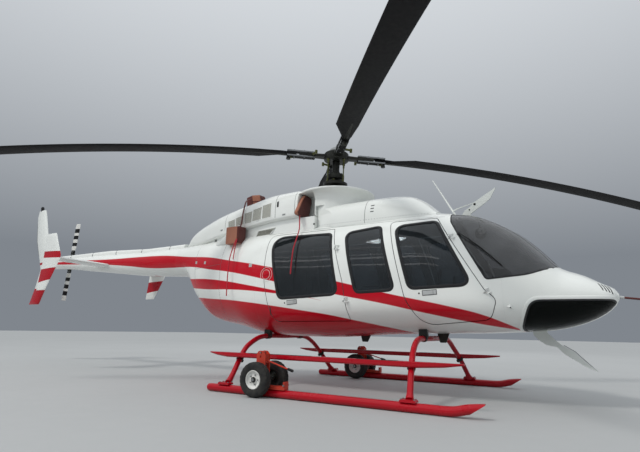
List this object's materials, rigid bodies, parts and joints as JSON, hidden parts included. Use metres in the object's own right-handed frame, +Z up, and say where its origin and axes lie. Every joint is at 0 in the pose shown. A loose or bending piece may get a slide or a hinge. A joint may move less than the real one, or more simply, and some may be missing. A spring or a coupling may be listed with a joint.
{
  "type": "light single-turbine helicopter on high skid gear",
  "caption": "Light turbine helicopter with a glazed cabin, hinged doors, turning main and tail rotors, skid gear and clip-on ground handling wheels.",
  "frame": {"origin": "on the ground under the middle of the whole object's box, in the middle plane", "axes": "+X forward to the nose, +Y to the left, +Z up"},
  "size_m": [11.801, 8.72, 3.225],
  "materials": {
    "white_paint": "gloss white aircraft paint",
    "red_paint": "gloss red aircraft paint",
    "orange_paint": "orange-red enamel",
    "glazing": "dark tinted acrylic",
    "blade_black": "matt black blade paint",
    "rotor_metal": "oily machined metal",
    "tyre_rubber": "worn black rubber",
    "wheel_white": "white enamel rim",
    "seat_cloth": "grey woven cloth",
    "panel_plastic": "black textured moulding",
    "cover_vinyl": "padded coated cloth in red brown",
    "streamer_red": "red woven tape"
  },
  "bodies": {
    "airframe": {"aft_cross_tube": "red_paint", "aft_fuselage": "white_paint", "cabin_belly": "red_paint", "cabin_roof": "white_paint", "chin_window_left": "glazing", "chin_window_right": "glazing", "crew_seat_left": "seat_cloth", "crew_seat_right": "seat_cloth", "engine": "rotor_metal", "engine_covers": "cover_vinyl", "engine_cowling": "white_paint", "forward_cross_tube": "red_paint", "forward_fairing": "white_paint", "instrument_panel": "panel_plastic", "intake_cover_left": "cover_vinyl", "intake_cover_right": "cover_vinyl", "intake_streamer": "streamer_red", "lower_wire_cutter": "white_paint", "mast_fairing": "white_paint", "middle_pane_left": "glazing", "middle_pane_right": "glazing", "nose_shell": "white_paint", "passenger_bench": "seat_cloth", "side_frame_left": "white_paint", "side_frame_right": "white_paint", "side_streamer": "streamer_red", "skid_left": "red_paint", "skid_right": "red_paint", "stabiliser": "white_paint", "step_left": "red_paint", "step_right": "red_paint", "tail_boom": "white_paint", "tail_gearbox": "rotor_metal", "upper_wire_cutter": "white_paint", "vertical_fin": "white_paint", "wheel_bracket_left": "orange_paint", "wheel_bracket_right": "orange_paint", "windshield_left": "glazing", "windshield_right": "glazing"},
    "main_rotor": {"main_blade_1": "blade_black", "main_blade_2": "blade_black", "main_blade_3": "blade_black", "main_blade_4": "blade_black", "rotor_hub": "rotor_metal", "rotor_mast": "rotor_metal"},
    "tail_rotor": {"tail_rotor": "white_paint"},
    "crew_door_right": {"crew_door_right": "white_paint", "crew_pane_right": "glazing"},
    "crew_door_left": {"crew_door_left": "white_paint", "crew_pane_left": "glazing"},
    "cabin_door_right": {"cabin_door_right": "white_paint", "cabin_pane_right": "glazing"},
    "cabin_door_left": {"cabin_door_left": "white_paint", "cabin_pane_left": "glazing"},
    "wheels_right": {"tyre_right_inner": "tyre_rubber", "tyre_right_outer": "tyre_rubber", "wheel_pair_right": "wheel_white"},
    "wheels_left": {"tyre_left_inner": "tyre_rubber", "tyre_left_outer": "tyre_rubber", "wheel_pair_left": "wheel_white"}
  },
  "joints": [
    {"name": "main_rotor_spin", "type": "hinge", "parent": "airframe", "child": "main_rotor", "pos_m": [1.6, 0, 3.02], "axis": [0.0349, 0, 0.9994], "continuous": true},
    {"name": "tail_rotor_spin", "type": "hinge", "parent": "airframe", "child": "tail_rotor", "pos_m": [-5.01, 0.38, 2.01], "axis": [0, 1, 0], "continuous": true},
    {"name": "crew_door_right_hinge", "type": "hinge", "parent": "airframe", "child": "crew_door_right", "pos_m": [3.581, -0.64606, 1.065], "axis": [-0.4925, 0.0351, 0.8696], "range_deg": [0, 80]},
    {"name": "crew_door_left_hinge", "type": "hinge", "parent": "airframe", "child": "crew_door_left", "pos_m": [3.581, 0.64606, 1.065], "axis": [0.4925, 0.0351, -0.8696], "range_deg": [0, 80]},
    {"name": "cabin_door_right_hinge", "type": "hinge", "parent": "airframe", "child": "cabin_door_right", "pos_m": [2.12, -0.75514, 1], "axis": [-0.2385, 0.0896, 0.967], "range_deg": [0, 85], "deforming": ["intake_streamer"]},
    {"name": "cabin_door_left_hinge", "type": "hinge", "parent": "airframe", "child": "cabin_door_left", "pos_m": [2.12, 0.75514, 1], "axis": [0.2385, 0.0896, -0.967], "range_deg": [0, 85]},
    {"name": "wheels_right_roll", "type": "hinge", "parent": "airframe", "child": "wheels_right", "pos_m": [1.41, -1.232, 0.173], "axis": [0, 1, 0], "continuous": true},
    {"name": "wheels_left_roll", "type": "hinge", "parent": "airframe", "child": "wheels_left", "pos_m": [1.41, 1.232, 0.173], "axis": [0, 1, 0], "continuous": true}
  ],
  "couplings": [
    {"joint": "tail_rotor_spin", "follows": "main_rotor_spin", "ratio": 6.05}
  ]
}
